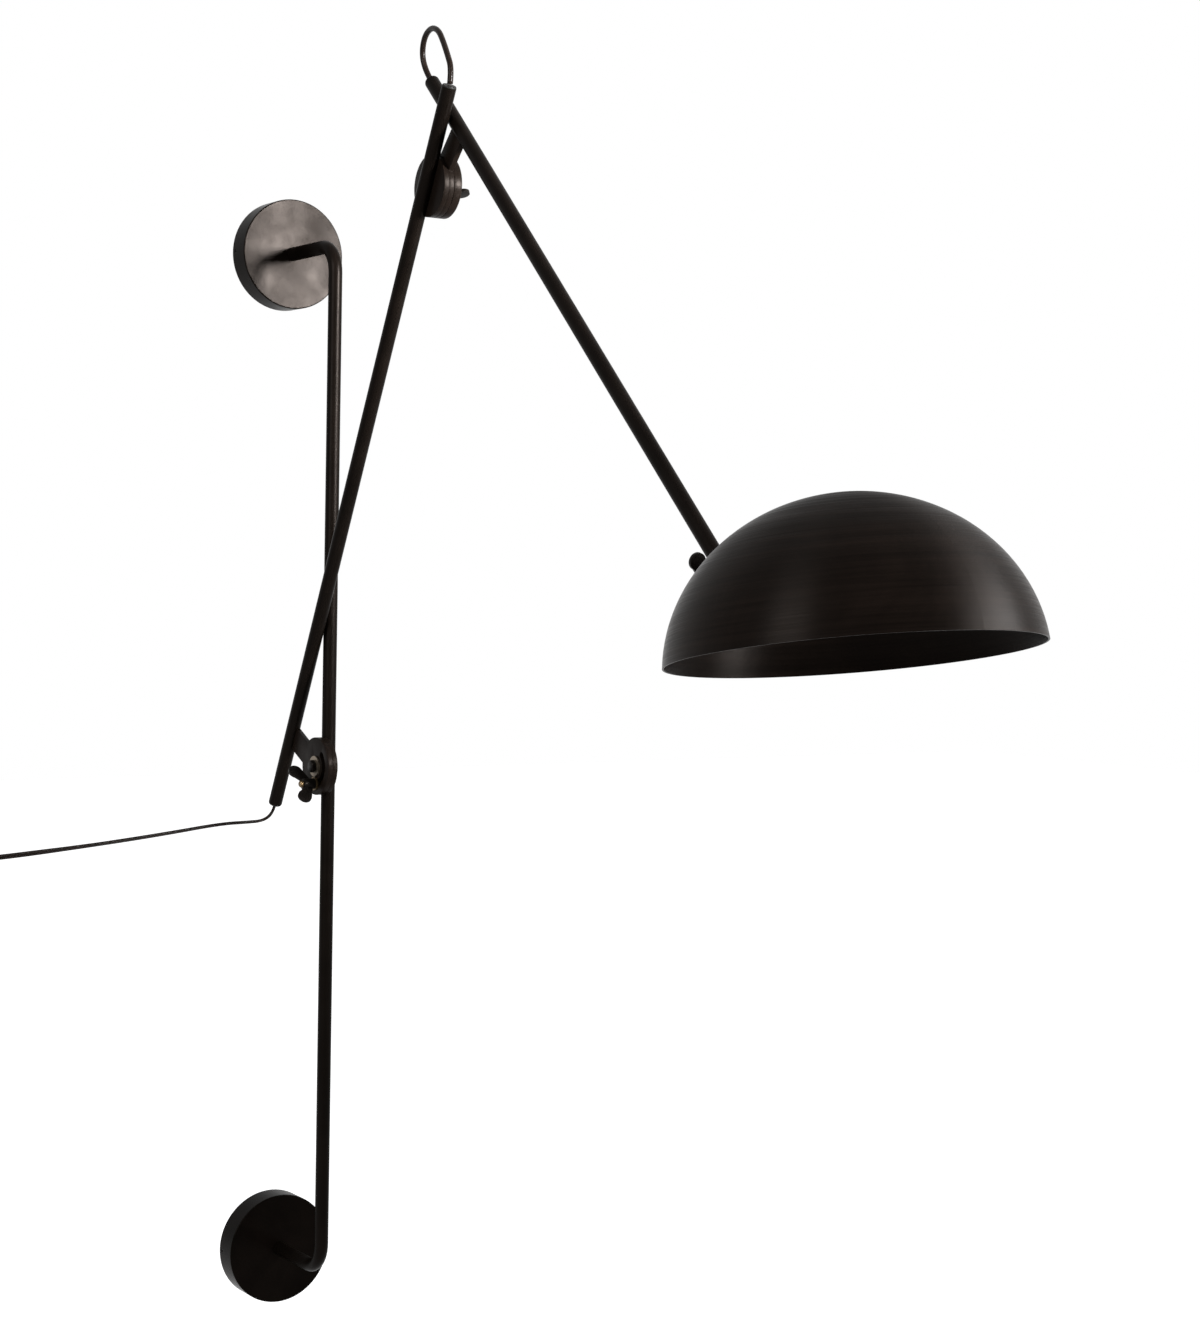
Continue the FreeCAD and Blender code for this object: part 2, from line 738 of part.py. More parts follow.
def route_wire(points):
    edges = []
    radii = []
    here = points[0]
    for i in range(1, len(points) - 1):
        start, middle, end, radius = round_corner(points[i - 1], points[i], points[i + 1])
        edges.append(Part.LineSegment(here, start).toShape())
        edges.append(Part.Arc(start, middle, end).toShape())
        radii.append(radius)
        here = end
    edges.append(Part.LineSegment(here, points[-1]).toShape())
    return Part.Wire(edges), radii


def cable(name, points):
    wire, radii = route_wire(points)
    tube = swept(wire, points[0], points[1] - points[0], cable_r)
    print(name, "length %.1f mm, radii" % wire.Length, " ".join("%.1f" % r for r in radii))
    return tube


def lead_route(plan):
    down = plan["lower_up"] * -1
    start = plan["lower_end"] + down * bushing_flange_t
    points = [start, start + down * lead_first_run]
    points += [V(*p) for p in lead_points]
    points.append(coil_point(0.0) + V(lead_last_run, 0, 0))
    points.append(coil_point(0.0) + V(coil_end_run, 0, 0))
    return points


def loop_route(plan):
    up = plan["upper_up"]
    start = plan["upper_top"] + up * bushing_flange_t
    points = [start, start + up * loop_first_run]
    points += [V(*p) for p in loop_points]
    points.append(plan["lower_top"] + plan["lower_up"] * (bushing_flange_t + screw_gap * 6))
    return points


def coil_point(turn):
    """Centre of the wound cable after this many turns, from the top, spiralling in and out."""
    per_layer = coil_turns / coil_layers
    layer = min(int(turn / per_layer), coil_layers - 1)
    part = turn - layer * per_layer
    half_width = per_layer * coil_pitch / 2
    inward = part * coil_pitch if layer % 2 == 0 else (per_layer - part) * coil_pitch
    radius = coil_mean_r + half_width - inward
    level = 0.0
    for k in range(1, coil_layers):
        x = (turn - k * per_layer) / coil_step_turns + 0.5
        x = min(1.0, max(0.0, x))
        level += x * x * (3 - 2 * x)
    angle = math.pi / 2 + 2 * math.pi * turn
    return V(coil_centre[0] + radius * math.cos(angle), coil_front + level * coil_pitch,
             coil_centre[1] + radius * math.sin(angle))


def arc_between(start, tangent, end):
    chord = end - start
    length = chord.Length
    along = V(chord).normalize()
    sideways = tangent - along * tangent.dot(along)
    if sideways.Length < 1e-6:
        return Part.LineSegment(start, end).toShape()
    half = tangent.getAngle(along)
    middle = (start + end) * 0.5 + sideways.normalize() * (length / 2 * math.tan(half / 2))
    return Part.Arc(start, middle, end).toShape()


def biarc(start, t0, end, t1):
    chord = end - start
    both = t0 + t1
    spread = 2 * (1 - t0.dot(t1))
    if spread < 1e-9:
        return [Part.LineSegment(start, end).toShape()]
    ahead = chord.dot(both)
    reach_along = (-ahead + math.sqrt(ahead * ahead + spread * chord.dot(chord))) / spread
    joint = (start + end + (t0 - t1) * reach_along) * 0.5
    first = arc_between(start, t0, joint)
    second = arc_between(end, t1 * -1, joint)
    second.reverse()
    return [first, second]


def coil_stations():
    count = int(round(coil_turns * 4))
    turns = [coil_turns * i / count for i in range(count + 1)]
    return turns


def coil_tangent(turn):
    step = 0.01
    low = max(0.0, turn - step)
    high = min(coil_turns, turn + step)
    return (coil_point(high) - coil_point(low)).normalize()


def coil_wire():
    turns = coil_stations()
    points = [coil_point(t) for t in turns]
    tangents = [coil_tangent(t) for t in turns]
    tangents[0] = V(-1, 0, 0)
    tangents[-1] = V(0, 0, -1)
    lead_in = points[0] - tangents[0] * coil_end_run
    lead_out = points[-1] + tangents[-1] * plug_run
    edges = [Part.LineSegment(lead_in, points[0]).toShape()]
    for i in range(len(points) - 1):
        edges += biarc(points[i], tangents[i], points[i + 1], tangents[i + 1])
    edges.append(Part.LineSegment(points[-1], lead_out).toShape())
    return Part.Wire(edges), lead_in, lead_out


def least_gap(wire):
    """Smallest free width between stretches of the coil more than half a turn apart."""
    points = wire.discretize(Distance=3.0)
    apart = int(math.pi * coil_mean_r / 3.0)
    best = 1e9
    for i in range(len(points)):
        for j in range(i + apart, len(points)):
            gap = (points[i] - points[j]).Length
            if gap < best:
                best = gap
    return best - cable_d


def lead_coil():
    wire, lead_in = coil_wire()[:2]
    tube = swept(wire, lead_in, V(-1, 0, 0), cable_r)
    print("lead_coil length %.1f mm, least gap %.2f mm" % (wire.Length, least_gap(wire)))
    return tube


def coil_tie():
    """Band round the bundle at the foot of the coil."""
    half_width = coil_turns / coil_layers * coil_pitch / 2
    near = coil_front - cable_r - tie_gap
    far = coil_front + (coil_layers - 1) * coil_pitch + cable_r + tie_gap
    low = coil_centre[1] - coil_mean_r - half_width - cable_r - tie_gap
    high = coil_centre[1] - coil_mean_r + half_width + cable_r + tie_gap
    x0 = coil_centre[0] - tie_w / 2

    def sleeve(grow):
        corner = V(x0, near - grow, low - grow)
        box = Part.makeBox(tie_w, far - near + 2 * grow, high - low + 2 * grow, corner)
        along = [e for e in box.Edges if e.BoundBox.XLength > tie_w / 2]
        return box.makeFillet(tie_corner_r * 0.5 + grow, along)

    return sleeve(tie_t).cut(sleeve(0))


def plug_frame():
    end = coil_wire()[2]
    middle_y = -plug_wall_gap - plug_t / 2
    return end, V(end.x, middle_y, end.z)


def plug_body():
    end, top = plug_frame()
    half = plug_t / 2
    outline = [V(-plug_top_w / 2, 0, 0), V(plug_top_w / 2, 0, 0), V(plug_w / 2, 0, -plug_l * 0.45),
               V(plug_w / 2, 0, -plug_l), V(-plug_w / 2, 0, -plug_l), V(-plug_w / 2, 0, -plug_l * 0.45),
               V(-plug_top_w / 2, 0, 0)]
    body = Part.Face(Part.makePolygon(outline)).extrude(V(0, plug_t, 0)).translated(V(0, -half, 0))
    upright = [e for e in body.Edges if e.BoundBox.YLength > half]
    body = body.makeFillet(plug_edge_r, upright).translated(top)
    for side in (-1, 1):
        body = body.cut(blade_box(top, side, fit_gap))
    relief = Part.makeCone(relief_low_d / 2, relief_top_d / 2, relief_l, end, V(0, 0, 1))
    relief = relief.cut(rod(end, V(0, 0, 1), cable_r + fit_gap, relief_l))
    return body.fuse(relief).removeSplitter()


def blade_box(top, side, grow):
    x = top.x + side * blade_spacing / 2
    foot = top.z - plug_l - blade_l
    return Part.makeBox(blade_t + 2 * grow, blade_w + 2 * grow, blade_l + blade_in + grow,
                        V(x - blade_t / 2 - grow, top.y - blade_w / 2 - grow, foot))


def plug_blades():
    top = plug_frame()[1]
    return Part.Compound([blade_box(top, side, 0) for side in (-1, 1)])


def build():
    plan = arm_plan()
    parts = {
        "wall_rod": wall_rod(),
        "rod_nuts": rod_nuts(),
    }
    for name, z in (("lower", 0), ("upper", canopy_spacing)):
        parts["canopy_" + name] = canopy(z)
        parts["backplate_" + name] = backplate(z)
        parts["set_screws_" + name] = set_screws(z)

    for number, (pivot, side, tube_phi, neck_phi) in enumerate(plan["hinges"], 1):
        name = "hinge%d_" % number
        stud_turn = stud_turns[number - 1]
        wing_turn = wing_turns[number - 1] - tube_phi
        lift = clamp_lift if number == 2 else 0.0
        parts[name + "disc"] = place(fixed_disc(side, stud_turn), pivot, tube_phi)
        parts[name + "bolt"] = place(pivot_bolt(side, lift), pivot, tube_phi)
        parts[name + "bolt_washer"] = place(bolt_washer(side, lift), pivot, tube_phi)
        parts[name + "stud"] = place(lock_stud(side, lift, stud_turn), pivot, tube_phi)
        parts[name + "stud_washer"] = place(stud_washer(side, lift, stud_turn), pivot, tube_phi)
        parts[name + "wing_nut"] = place(wing_nut(side, lift, stud_turn, wing_turn), pivot, tube_phi)
        if number == 2:
            parts[name + "clamp_disc"] = place(clamp_disc(side, stud_turn), pivot, tube_phi)
        if number < 3:
            parts[name + "plate"] = place(arm_plate(side), pivot, neck_phi)

    lower_up = plan["lower_up"]
    upper_up = plan["upper_up"]
    parts["lower_arm_tube"] = arm_tube(plan["lower_end"], lower_up, lower_length)
    parts["upper_arm_tube"] = arm_tube(plan["upper_end"], upper_up, upper_length)
    parts["lower_arm_bushings"] = Part.Compound([
        bushing(plan["lower_end"], lower_up * -1), bushing(plan["lower_top"], lower_up)])
    parts["upper_arm_bushings"] = Part.Compound([
        bushing(plan["upper_end"], upper_up * -1), bushing(plan["upper_top"], upper_up)])
    parts["lower_arm_wire"] = arm_wire(plan["lower_end"], lower_up, lower_length)
    parts["upper_arm_wire"] = arm_wire(plan["upper_end"], upper_up, upper_length)

    origin = dome_origin(plan["hinges"][2][0])
    head = {
        "hinge3_plate": head_plate(),
        "dome_shell": dome_shell(),
        "dome_grommet": dome_grommet(),
        "head_rivets": head_rivets(),
        "inner_bracket": inner_bracket(),
        "lampholder_body": lampholder_body(),
        "lampholder_shell": lampholder_shell(),
        "lampholder_contact": lampholder_contact(),
        "lampholder_nipple": lampholder_nipple(),
        "nipple_nut": nipple_nut(),
    }
    for name, shape in head.items():
        parts[name] = place(shape, origin, -dome_tilt)

    parts["loop_cable"] = cable("loop_cable", loop_route(plan))
    parts["lead_cord"] = cable("lead_cord", lead_route(plan))
    parts["lead_coil"] = lead_coil()
    parts["coil_tie"] = coil_tie()
    parts["plug_body"] = plug_body()
    parts["plug_blades"] = plug_blades()
    return parts


os.makedirs("parts", exist_ok=True)
for node, solid in build().items():
    solid.exportStep("parts/%s.step" % node)
    print(node, "solids", len(solid.Solids), "volume %.1f" % solid.Volume, "valid", solid.isValid())
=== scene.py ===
import json
import math

import bmesh
import bpy
from mathutils import Matrix, Vector
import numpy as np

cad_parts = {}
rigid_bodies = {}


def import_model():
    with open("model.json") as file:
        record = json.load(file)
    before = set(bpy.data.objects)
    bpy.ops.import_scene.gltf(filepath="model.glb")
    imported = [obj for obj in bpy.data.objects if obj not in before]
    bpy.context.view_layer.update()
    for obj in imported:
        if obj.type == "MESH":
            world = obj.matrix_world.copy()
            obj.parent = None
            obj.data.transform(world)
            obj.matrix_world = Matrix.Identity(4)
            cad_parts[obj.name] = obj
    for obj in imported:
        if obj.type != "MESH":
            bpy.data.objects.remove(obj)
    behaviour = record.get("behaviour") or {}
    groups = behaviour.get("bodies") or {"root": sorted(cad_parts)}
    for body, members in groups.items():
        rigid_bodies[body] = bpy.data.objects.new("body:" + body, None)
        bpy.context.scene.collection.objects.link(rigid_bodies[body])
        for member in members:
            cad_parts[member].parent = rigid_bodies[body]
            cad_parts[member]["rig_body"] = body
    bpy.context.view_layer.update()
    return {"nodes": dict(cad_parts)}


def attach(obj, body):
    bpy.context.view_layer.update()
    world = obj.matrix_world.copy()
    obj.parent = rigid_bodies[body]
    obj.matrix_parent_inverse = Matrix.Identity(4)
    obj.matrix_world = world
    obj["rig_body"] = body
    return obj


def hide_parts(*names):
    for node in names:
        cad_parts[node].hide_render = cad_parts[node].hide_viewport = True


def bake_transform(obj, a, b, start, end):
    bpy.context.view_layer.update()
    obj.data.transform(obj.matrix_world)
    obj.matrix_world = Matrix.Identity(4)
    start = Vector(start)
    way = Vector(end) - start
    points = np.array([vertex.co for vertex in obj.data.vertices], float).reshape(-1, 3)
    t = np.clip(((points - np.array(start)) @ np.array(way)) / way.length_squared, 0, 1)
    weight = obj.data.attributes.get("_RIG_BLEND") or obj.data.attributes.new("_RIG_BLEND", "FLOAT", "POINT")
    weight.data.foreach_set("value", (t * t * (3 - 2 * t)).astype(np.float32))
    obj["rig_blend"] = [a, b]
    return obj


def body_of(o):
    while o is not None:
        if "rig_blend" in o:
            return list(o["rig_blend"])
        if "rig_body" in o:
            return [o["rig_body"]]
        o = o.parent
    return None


# Looks of a wall sconce with two hinged arms, a spun dome shade and a plug-in lead.
# Metres, in the CAD frame: X right along the wall, Y into the wall, Z up.

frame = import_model()
nodes = frame["nodes"]

# ---- camera, fitted to the photograph
camera_at = (-1.047159, -2.155591, 0.645349)
camera_turn = 0.582      # radians, from +Y towards +X
camera_tip = -0.032      # radians, above the horizon
camera_roll = 0.018      # radians
lens_mm = 67.567
sensor_mm = 36.0
camera_reach = 50.0

# ---- sizes that the looks share with the solids
cable_d = 0.005
twin_w = 0.005           # the flat lead's two cores, side by side
twin_t = 0.0029
groove_half_angle = 38   # degrees of each core that its neighbour hides
stud_d = 0.006
stud_chamfer = 0.00075

# ---- thread on a stud's free end, beyond the wing nut
thread_pitch = 0.001
thread_turns = 2.2
thread_depth = 0.00028
thread_steps = 32        # in one turn
ridge_sides = 6

# ---- edges rounded over on the cut and cast pieces
wing_nut_edge = 0.0011
bolt_edge = 0.0004
disc_edge = 0.0006
plate_edge = 0.0005
rounded_past = 40        # degrees between two faces
drawn_sharp_past = 32    # degrees between two faces

# ---- the lead, from the lower arm's end to the coil
lower_end = Vector((-0.0132, -0.0284, 0.4295))
lead_first_run = 0.010
lead_points = (
    (-0.0215, -0.0205, 0.4118),
    (-0.0380, -0.0210, 0.4110),
    (-0.0660, -0.0215, 0.4106),
    (-0.1200, -0.0220, 0.4038),
    (-0.1800, -0.0225, 0.3974),
    (-0.2400, -0.0230, 0.3922),
)
lead_held_at = (-0.30, -0.0235, 0.388)   # where the lead has stopped following the arm

# Share of the lead's length, and radians that it has turned by there about its own line.
lead_twists = ((0.00, 0.6), (0.10, 0.9), (0.16, 1.7), (0.25, 2.2), (0.36, 0.6), (0.50, 0.2))

# ---- the coil that the unseen part of the lead makes
coil_centre = (-0.3273, 0.3551)          # X and Z
coil_front = -0.0236                     # Y of the layer farthest from the wall
coil_pitch = 0.0056
coil_mean_r = 0.0275
coil_turns = 8.25
coil_layers = 4
coil_step_turns = 0.5    # in which the lead climbs from one layer to the next
coil_points_per_turn = 24
lead_last_run = 0.035    # the two last points before the coil, this far and
coil_end_run = 0.005     # this far from its top
plug_run = 0.032         # from the coil down to the plug

# ---- the loop of cable from the upper arm's top to the lower arm's top
upper_top = Vector((0.0, -0.2865, 1.0695))
lower_top = Vector((-0.0132, -0.3393, 1.0556))
loop_first_run = 0.012
loop_points = (
    (-0.0020, -0.2712, 1.0940),
    (-0.0040, -0.2785, 1.1090),
    (-0.0060, -0.2945, 1.1140),
    (-0.0080, -0.3105, 1.1085),
    (-0.0100, -0.3225, 1.0965),
    (-0.0120, -0.3335, 1.0835),
    (-0.0132, -0.3425, 1.0708),
)
loop_end_gap = 0.0012    # from the lower bushing's face to the loop's end
loop_moves_before = (0.0, -0.288, 1.09)  # with the upper arm
loop_stays_after = (0.0, -0.333, 1.09)   # on the lower arm
bushing_flange_t = 0.0015

# ---- how a cord's line follows its points
route_order = 3
route_steps = 10         # between two points
round_sides = 16
core_points = 9          # round each core of the flat lead

# ---- leans of the arms and of the dome, in degrees
lower_lean = 26.4
upper_lean = 46.5
dome_tilt = 9.2
dome_rim_centre = Vector((-0.0132, -0.88852, 0.59918))

# ---- stage and light
floor_half = 9.0
floor_level = -0.34
floor_glow = 0.8
studio_light = 0.35
studio_white = 1.0
lamps = (
    # name, place, what it is turned to, width and height, watts, cone in degrees
    ("canopy_lamp", (0.88, -1.75, 1.20), (0.0, -0.02, 0.95), (0.50, 0.45), 11.5, 36),
    ("dome_lamp", (1.00, -1.70, 1.02), (0.0, -1.0, 0.62), (1.0, 0.45), 8.5, 60),
    ("mouth_lamp", (0.95, -1.80, 0.10), (0.0, -0.85, 0.60), (0.5, 0.3), 1.4, 30),
    ("left_lamp", (-2.4, -1.2, 1.6), (0, -0.5, 0.6), (1.0, 1.6), 36, 120),
)


def turned(degrees):
    """Unit direction in the Y-Z plane, round from +Y towards +Z."""
    a = math.radians(degrees)
    return Vector((0.0, math.cos(a), math.sin(a)))


def eased(x):
    """Smooth step from 0 to 1."""
    return x * x * (3 - 2 * x)


lower_up = turned(90 + lower_lean)
upper_up = turned(90 - upper_lean)


# ---- materials
def new_material(name):
    material = bpy.data.materials.new(name)
    material.use_nodes = True
    tree = material.node_tree
    return material, tree, tree.nodes["Principled BSDF"]


def add(tree, kind, **values):
    node = tree.nodes.new(kind)
    for key, value in values.items():
        setattr(node, key, value)
    return node


def noise(tree, vector, scale, detail=4.0, roughness=0.55, distortion=0.0):
    """Random value near 0.5 that changes over about 1/scale of the vector's own unit."""
    node = add(tree, "ShaderNodeTexNoise")
    node.inputs["Scale"].default_value = scale
    node.inputs["Detail"].default_value = detail
    node.inputs["Roughness"].default_value = roughness
    node.inputs["Distortion"].default_value = distortion
    tree.links.new(vector, node.inputs["Vector"])
    return node.outputs["Fac"]


def ramp(tree, fac, stops):
    """Colour that runs through the stops."""
    node = add(tree, "ShaderNodeValToRGB")
    while len(node.color_ramp.elements) < len(stops):
        node.color_ramp.elements.new(0.5)
    for element, (at, colour) in zip(node.color_ramp.elements, stops):
        element.position = at
        element.color = (*colour, 1.0)
    tree.links.new(fac, node.inputs["Fac"])
    return node.outputs["Color"]


def spread(tree, fac, low, high):
    """The middle range of a noise, drawn out to low and high."""
    node = add(tree, "ShaderNodeMapRange")
    node.inputs["From Min"].default_value = 0.3
    node.inputs["From Max"].default_value = 0.7
    node.inputs["To Min"].default_value = low
    node.inputs["To Max"].default_value = high
    tree.links.new(fac, node.inputs["Value"])
    return node.outputs["Result"]


def bump(tree, height, strength, distance, under=None):
    """Surface made uneven by height, over a surface that is uneven already if there is one under it."""
    node = add(tree, "ShaderNodeBump")
    node.inputs["Strength"].default_value = strength
    node.inputs["Distance"].default_value = distance
    tree.links.new(height, node.inputs["Height"])
    if under is not None:
        tree.links.new(under, node.inputs["Normal"])
    return node.outputs["Normal"]


def object_place(tree, location=(0, 0, 0), rotation=(0, 0, 0), scale=(1, 1, 1)):
    """Place on the piece, in metres unless it is scaled."""
    coord = add(tree, "ShaderNodeTexCoord")
    mapping = add(tree, "ShaderNodeMapping")
    mapping.inputs["Location"].default_value = location
    mapping.inputs["Rotation"].default_value = rotation
    mapping.inputs["Scale"].default_value = scale
    tree.links.new(coord.outputs["Object"], mapping.inputs["Vector"])
    return mapping.outputs["Vector"]


warm_gloss = (1.0, 0.86, 0.78, 1.0)
ring_grain = (9.0, 9.0, 1900.0)      # long round the dome, short along its axis
band_grain = (5.0, 5.0, 260.0)
brush_grain = (300.0, 300.0, 300.0)


def lacquered_bronze(name, dark, light, rough, specular, patch=55.0):
    """Dark bronze finish: cloudy tone, fine orange-peel in the lacquer and wear on a small scale."""
    material, tree, shader = new_material(name)
    place = object_place(tree)
    cloud = noise(tree, place, 14.0, detail=6.0, roughness=0.62, distortion=0.4)
    tone = ramp(tree, cloud, ((0.32, dark), (0.68, light)))
    tree.links.new(tone, shader.inputs["Base Color"])
    streak = noise(tree, place, patch, detail=5.0)
    tree.links.new(spread(tree, streak, *rough), shader.inputs["Roughness"])
    peel = noise(tree, place, 900.0, detail=2.0)
    tree.links.new(bump(tree, peel, 0.10, 0.0002), shader.inputs["Normal"])
    shader.inputs["Metallic"].default_value = 0.0
    shader.inputs["Specular IOR Level"].default_value = specular
    shader.inputs["Specular Tint"].default_value = warm_gloss
    return material


def spun_bronze():
    """The dome's finish: rings left by spinning, parallel to the rim, under a thin satin lacquer."""
    material, tree, shader = new_material("spun_bronze")
    turn = Matrix.Rotation(math.radians(dome_tilt), 3, "X")
    moved = turn @ dome_rim_centre
    place = object_place(tree, location=tuple(-moved), rotation=(math.radians(dome_tilt), 0, 0))
    rings = add(tree, "ShaderNodeMapping")
    rings.inputs["Scale"].default_value = ring_grain
    tree.links.new(place, rings.inputs["Vector"])
    ring = noise(tree, rings.outputs["Vector"], 1.0, detail=3.0, roughness=0.7)
    bands = add(tree, "ShaderNodeMapping")
    bands.inputs["Scale"].default_value = band_grain
    tree.links.new(place, bands.inputs["Vector"])
    band = noise(tree, bands.outputs["Vector"], 1.0, detail=4.0, roughness=0.65)
    cloud = noise(tree, place, 11.0, detail=7.0, roughness=0.66, distortion=0.6)
    mixed = add(tree, "ShaderNodeMath", operation="MULTIPLY")
    tree.links.new(cloud, mixed.inputs[0])
    tree.links.new(band, mixed.inputs[1])
    dark, light = (0.0016, 0.0010, 0.0007), (0.0052, 0.0034, 0.0026)
    tone = ramp(tree, mixed.outputs[0], ((0.14, dark), (0.36, light)))
    tree.links.new(tone, shader.inputs["Base Color"])
    tree.links.new(spread(tree, ring, 0.32, 0.52), shader.inputs["Roughness"])
    normal = bump(tree, ring, 0.36, 0.0002)
    normal = bump(tree, band, 0.10, 0.0004, normal)
    tree.links.new(normal, shader.inputs["Normal"])
    shader.inputs["Metallic"].default_value = 0.0
    shader.inputs["Specular IOR Level"].default_value = 0.035
    shader.inputs["Specular Tint"].default_value = warm_gloss
    shader.inputs["Anisotropic"].default_value = 0.8
    shader.inputs["Anisotropic Rotation"].default_value = 0.25
    tangent = add(tree, "ShaderNodeTangent", direction_type="RADIAL", axis="Z")
    tree.links.new(tangent.outputs["Tangent"], shader.inputs["Tangent"])
    return material


def bare_metal(name, colour, rough):
    """Plain metal with fine wear in its tone and polish."""
    material, tree, shader = new_material(name)
    place = object_place(tree, scale=brush_grain)
    lines = noise(tree, place, 1.0, detail=5.0, roughness=0.6)
    dull = tuple(c * 0.72 for c in colour)
    tree.links.new(ramp(tree, lines, ((0.3, dull), (0.7, colour))), shader.inputs["Base Color"])
    tree.links.new(spread(tree, lines, *rough), shader.inputs["Roughness"])
    tree.links.new(bump(tree, lines, 0.15, 0.0001), shader.inputs["Normal"])
    shader.inputs["Metallic"].default_value = 1.0
    return material


def moulded(name, dark, light, rough, pebbling=0.15, specular=0.12):
    """Moulded plastic or rubber: even colour with a faint bloom and a fine pebbled skin."""
    material, tree, shader = new_material(name)
    place = object_place(tree)
    bloom = noise(tree, place, 60.0, detail=5.0)
    tree.links.new(ramp(tree, bloom, ((0.3, dark), (0.7, light))), shader.inputs["Base Color"])
    pebble = noise(tree, place, 2200.0, detail=1.0)
    tree.links.new(spread(tree, bloom, *rough), shader.inputs["Roughness"])
    tree.links.new(bump(tree, pebble, pebbling, 0.0001), shader.inputs["Normal"])
    shader.inputs["Specular IOR Level"].default_value = specular
    return material


tube_bronze = lacquered_bronze(
    "tube_bronze", dark=(0.0010, 0.0007, 0.0005), light=(0.0030, 0.0021, 0.0016),
    rough=(0.30, 0.42), specular=0.030)
plate_bronze = lacquered_bronze(
    "plate_bronze", dark=(0.0016, 0.0011, 0.0008), light=(0.0060, 0.0041, 0.0032),
    rough=(0.28, 0.40), specular=0.026)
canopy_bronze = lacquered_bronze(
    "canopy_bronze", dark=(0.0010, 0.0007, 0.0005), light=(0.0036, 0.0025, 0.0019),
    rough=(0.20, 0.38), specular=0.017, patch=26.0)
nut_bronze = lacquered_bronze(
    "nut_bronze", dark=(0.0010, 0.0008, 0.0007), light=(0.0026, 0.0021, 0.0018),
    rough=(0.30, 0.44), specular=0.06)
dome_bronze = spun_bronze()
steel = bare_metal("zinc_steel", (0.19, 0.155, 0.115), rough=(0.30, 0.48))
brass = bare_metal("stud_brass", (0.115, 0.078, 0.040), rough=(0.32, 0.48))
black_plastic = moulded(
    "black_plastic", dark=(0.003, 0.003, 0.003), light=(0.007, 0.0065, 0.006), rough=(0.42, 0.55))
phenolic = moulded(
    "phenolic", dark=(0.004, 0.0035, 0.003), light=(0.009, 0.008, 0.007), rough=(0.30, 0.42))
cable_sheath = moulded(
    "cable_sheath", dark=(0.0035, 0.0022, 0.0016), light=(0.0080, 0.0052, 0.0040),
    rough=(0.26, 0.36), pebbling=0.05, specular=0.05)

finish_of = {
    tube_bronze: ("wall_rod", "lower_arm_tube", "upper_arm_tube"),
    canopy_bronze: ("canopy_lower", "canopy_upper"),
    plate_bronze: ("hinge1_disc", "hinge2_disc", "hinge3_disc", "hinge2_clamp_disc",
                   "hinge1_plate", "hinge2_plate", "hinge3_plate", "rod_nuts"),
    nut_bronze: ("hinge1_wing_nut", "hinge2_wing_nut", "hinge3_wing_nut",
                 "hinge1_bolt", "hinge2_bolt", "hinge3_bolt",
                 "head_rivets", "set_screws_lower", "set_screws_upper"),
    dome_bronze: ("dome_shell",),
    steel: ("backplate_lower", "backplate_upper",
            "hinge1_bolt_washer", "hinge2_bolt_washer", "hinge3_bolt_washer",
            "inner_bracket", "lampholder_nipple", "nipple_nut"),
    brass: ("hinge1_stud", "hinge2_stud", "hinge3_stud",
            "hinge1_stud_washer", "hinge2_stud_washer", "hinge3_stud_washer",
            "lampholder_shell", "lampholder_contact", "plug_blades"),
    black_plastic: ("lower_arm_bushings", "upper_arm_bushings", "dome_grommet", "plug_body", "coil_tie"),
    phenolic: ("lampholder_body",),
    cable_sheath: ("lower_arm_wire", "upper_arm_wire", "lead_cord", "lead_coil", "loop_cable"),
}
for material, names in finish_of.items():
    for name in names:
        mesh = nodes[name].data
        mesh.materials.clear()
        mesh.materials.append(material)


# ---- softened edges on the cut and cast pieces
def plain_mesh(obj, name):
    """What an object's modifiers make of it, as a mesh of its own."""
    evaluated = obj.evaluated_get(bpy.context.evaluated_depsgraph_get())
    data = bpy.data.meshes.new_from_object(evaluated)
    data.name = name
    return data


def softened(name, width, segments, material):
    """Copy of a piece's solid with its edges rounded over by width, in place of the sharp one."""
    source = nodes[name].data
    mesh = bmesh.new()
    mesh.from_mesh(source)
    bmesh.ops.remove_doubles(mesh, verts=mesh.verts, dist=1e-6)
    bmesh.ops.dissolve_limit(mesh, angle_limit=math.radians(1.0), verts=mesh.verts, edges=mesh.edges)
    data = bpy.data.meshes.new(name + "_soft")
    mesh.to_mesh(data)
    mesh.free()
    obj = bpy.data.objects.new(name + "_soft", data)
    bpy.context.collection.objects.link(obj)
    edge = obj.modifiers.new("edge", "BEVEL")
    edge.width = width
    edge.segments = segments
    edge.limit_method = "ANGLE"
    edge.angle_limit = math.radians(rounded_past)
    obj.data = plain_mesh(obj, name + "_soft")
    obj.modifiers.clear()
    bpy.data.meshes.remove(data)
    for face in obj.data.polygons:
        face.use_smooth = True
    obj.data.set_sharp_from_angle(angle=math.radians(drawn_sharp_past))
    obj.data.materials.clear()
    obj.data.materials.append(material)
    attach(obj, body_of(nodes[name])[0])
    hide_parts(name)


for number in (1, 2, 3):
    softened("hinge%d_wing_nut" % number, wing_nut_edge, 4, nut_bronze)
    softened("hinge%d_bolt" % number, bolt_edge, 2, nut_bronze)
    softened("hinge%d_disc" % number, disc_edge, 3, plate_bronze)
for number in (1, 2):
    softened("hinge%d_plate" % number, plate_edge, 3, plate_bronze)
softened("hinge2_clamp_disc", disc_edge, 3, plate_bronze)


